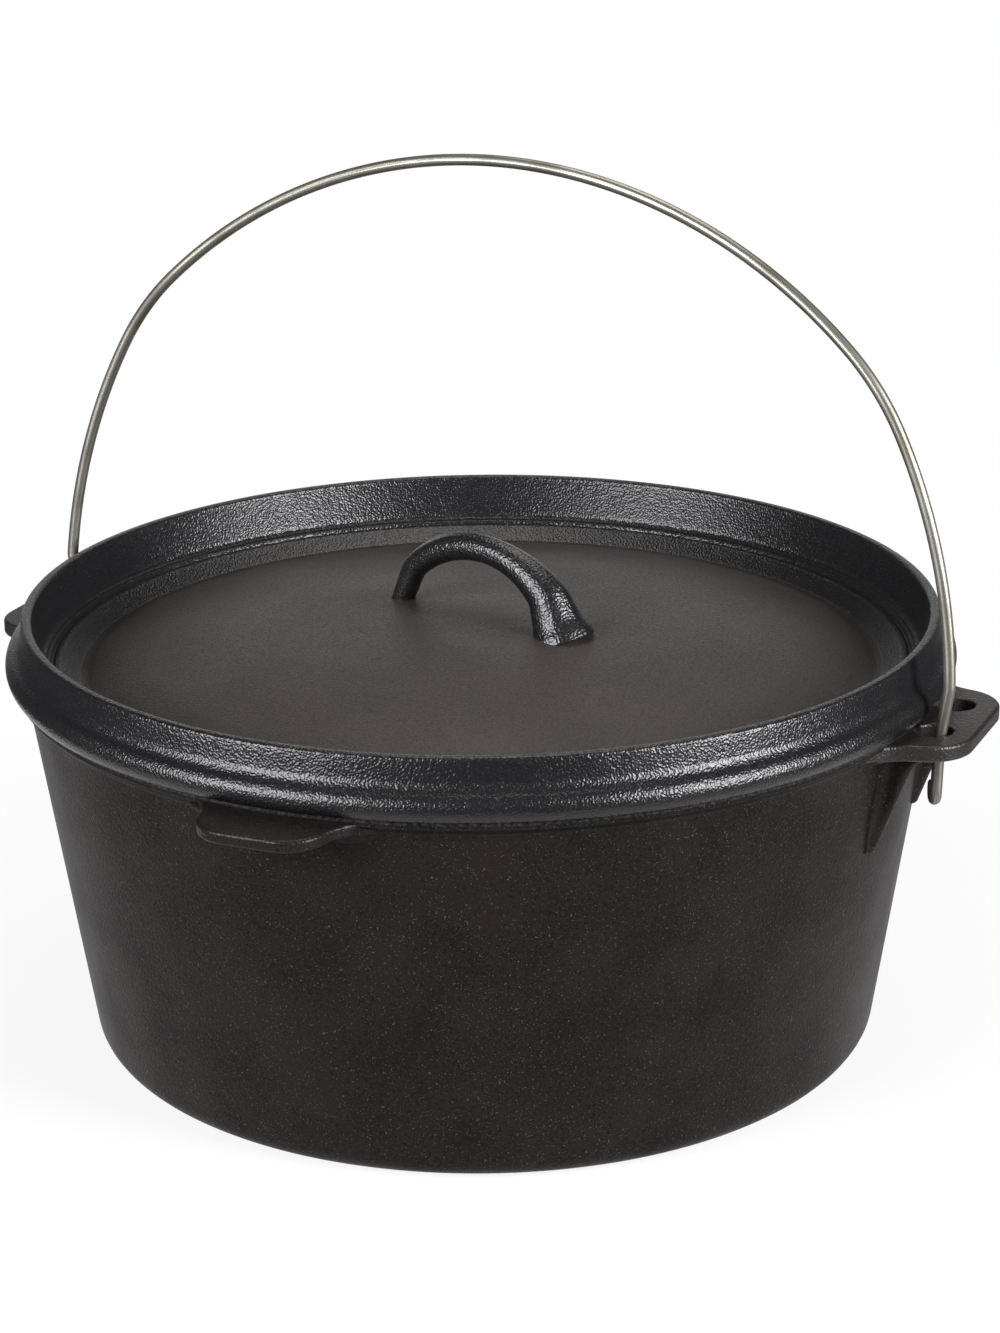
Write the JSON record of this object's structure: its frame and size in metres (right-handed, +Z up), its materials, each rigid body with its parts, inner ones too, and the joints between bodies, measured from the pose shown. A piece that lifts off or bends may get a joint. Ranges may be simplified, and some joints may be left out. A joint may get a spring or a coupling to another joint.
{
  "type": "camp dutch oven",
  "caption": "Round cast-iron camp pot with a flat base, a flanged lid for coals with a loop handle, flat ears with holes and ribs, a tipping lug and a hooked wire bail.",
  "frame": {"origin": "centre of the flat base, on the surface the pot stands on", "axes": "+Z up, the ears lie along X, the tipping lug points along -Y"},
  "size_m": [0.3612, 0.3446, 0.3048],
  "materials": {
    "iron": "seasoned near-black casting, satin and finely pebbled",
    "wire": "pale zinc-plated drawn wire"
  },
  "bodies": {
    "pot": {"pot": "iron"},
    "lid": {"lid": "iron"},
    "bail": {"bail": "wire"}
  },
  "joints": [
    {"name": "lid_lift", "type": "slide", "parent": "pot", "child": "lid", "axis": [0, 0, 1], "range_m": [0, 0.03]},
    {"name": "bail_swing", "type": "hinge", "parent": "pot", "child": "bail", "pos_m": [0, 0, 0.12925], "axis": [0.9968, -0.0801, 0], "range_deg": [-34.5, 45.5]}
  ]
}
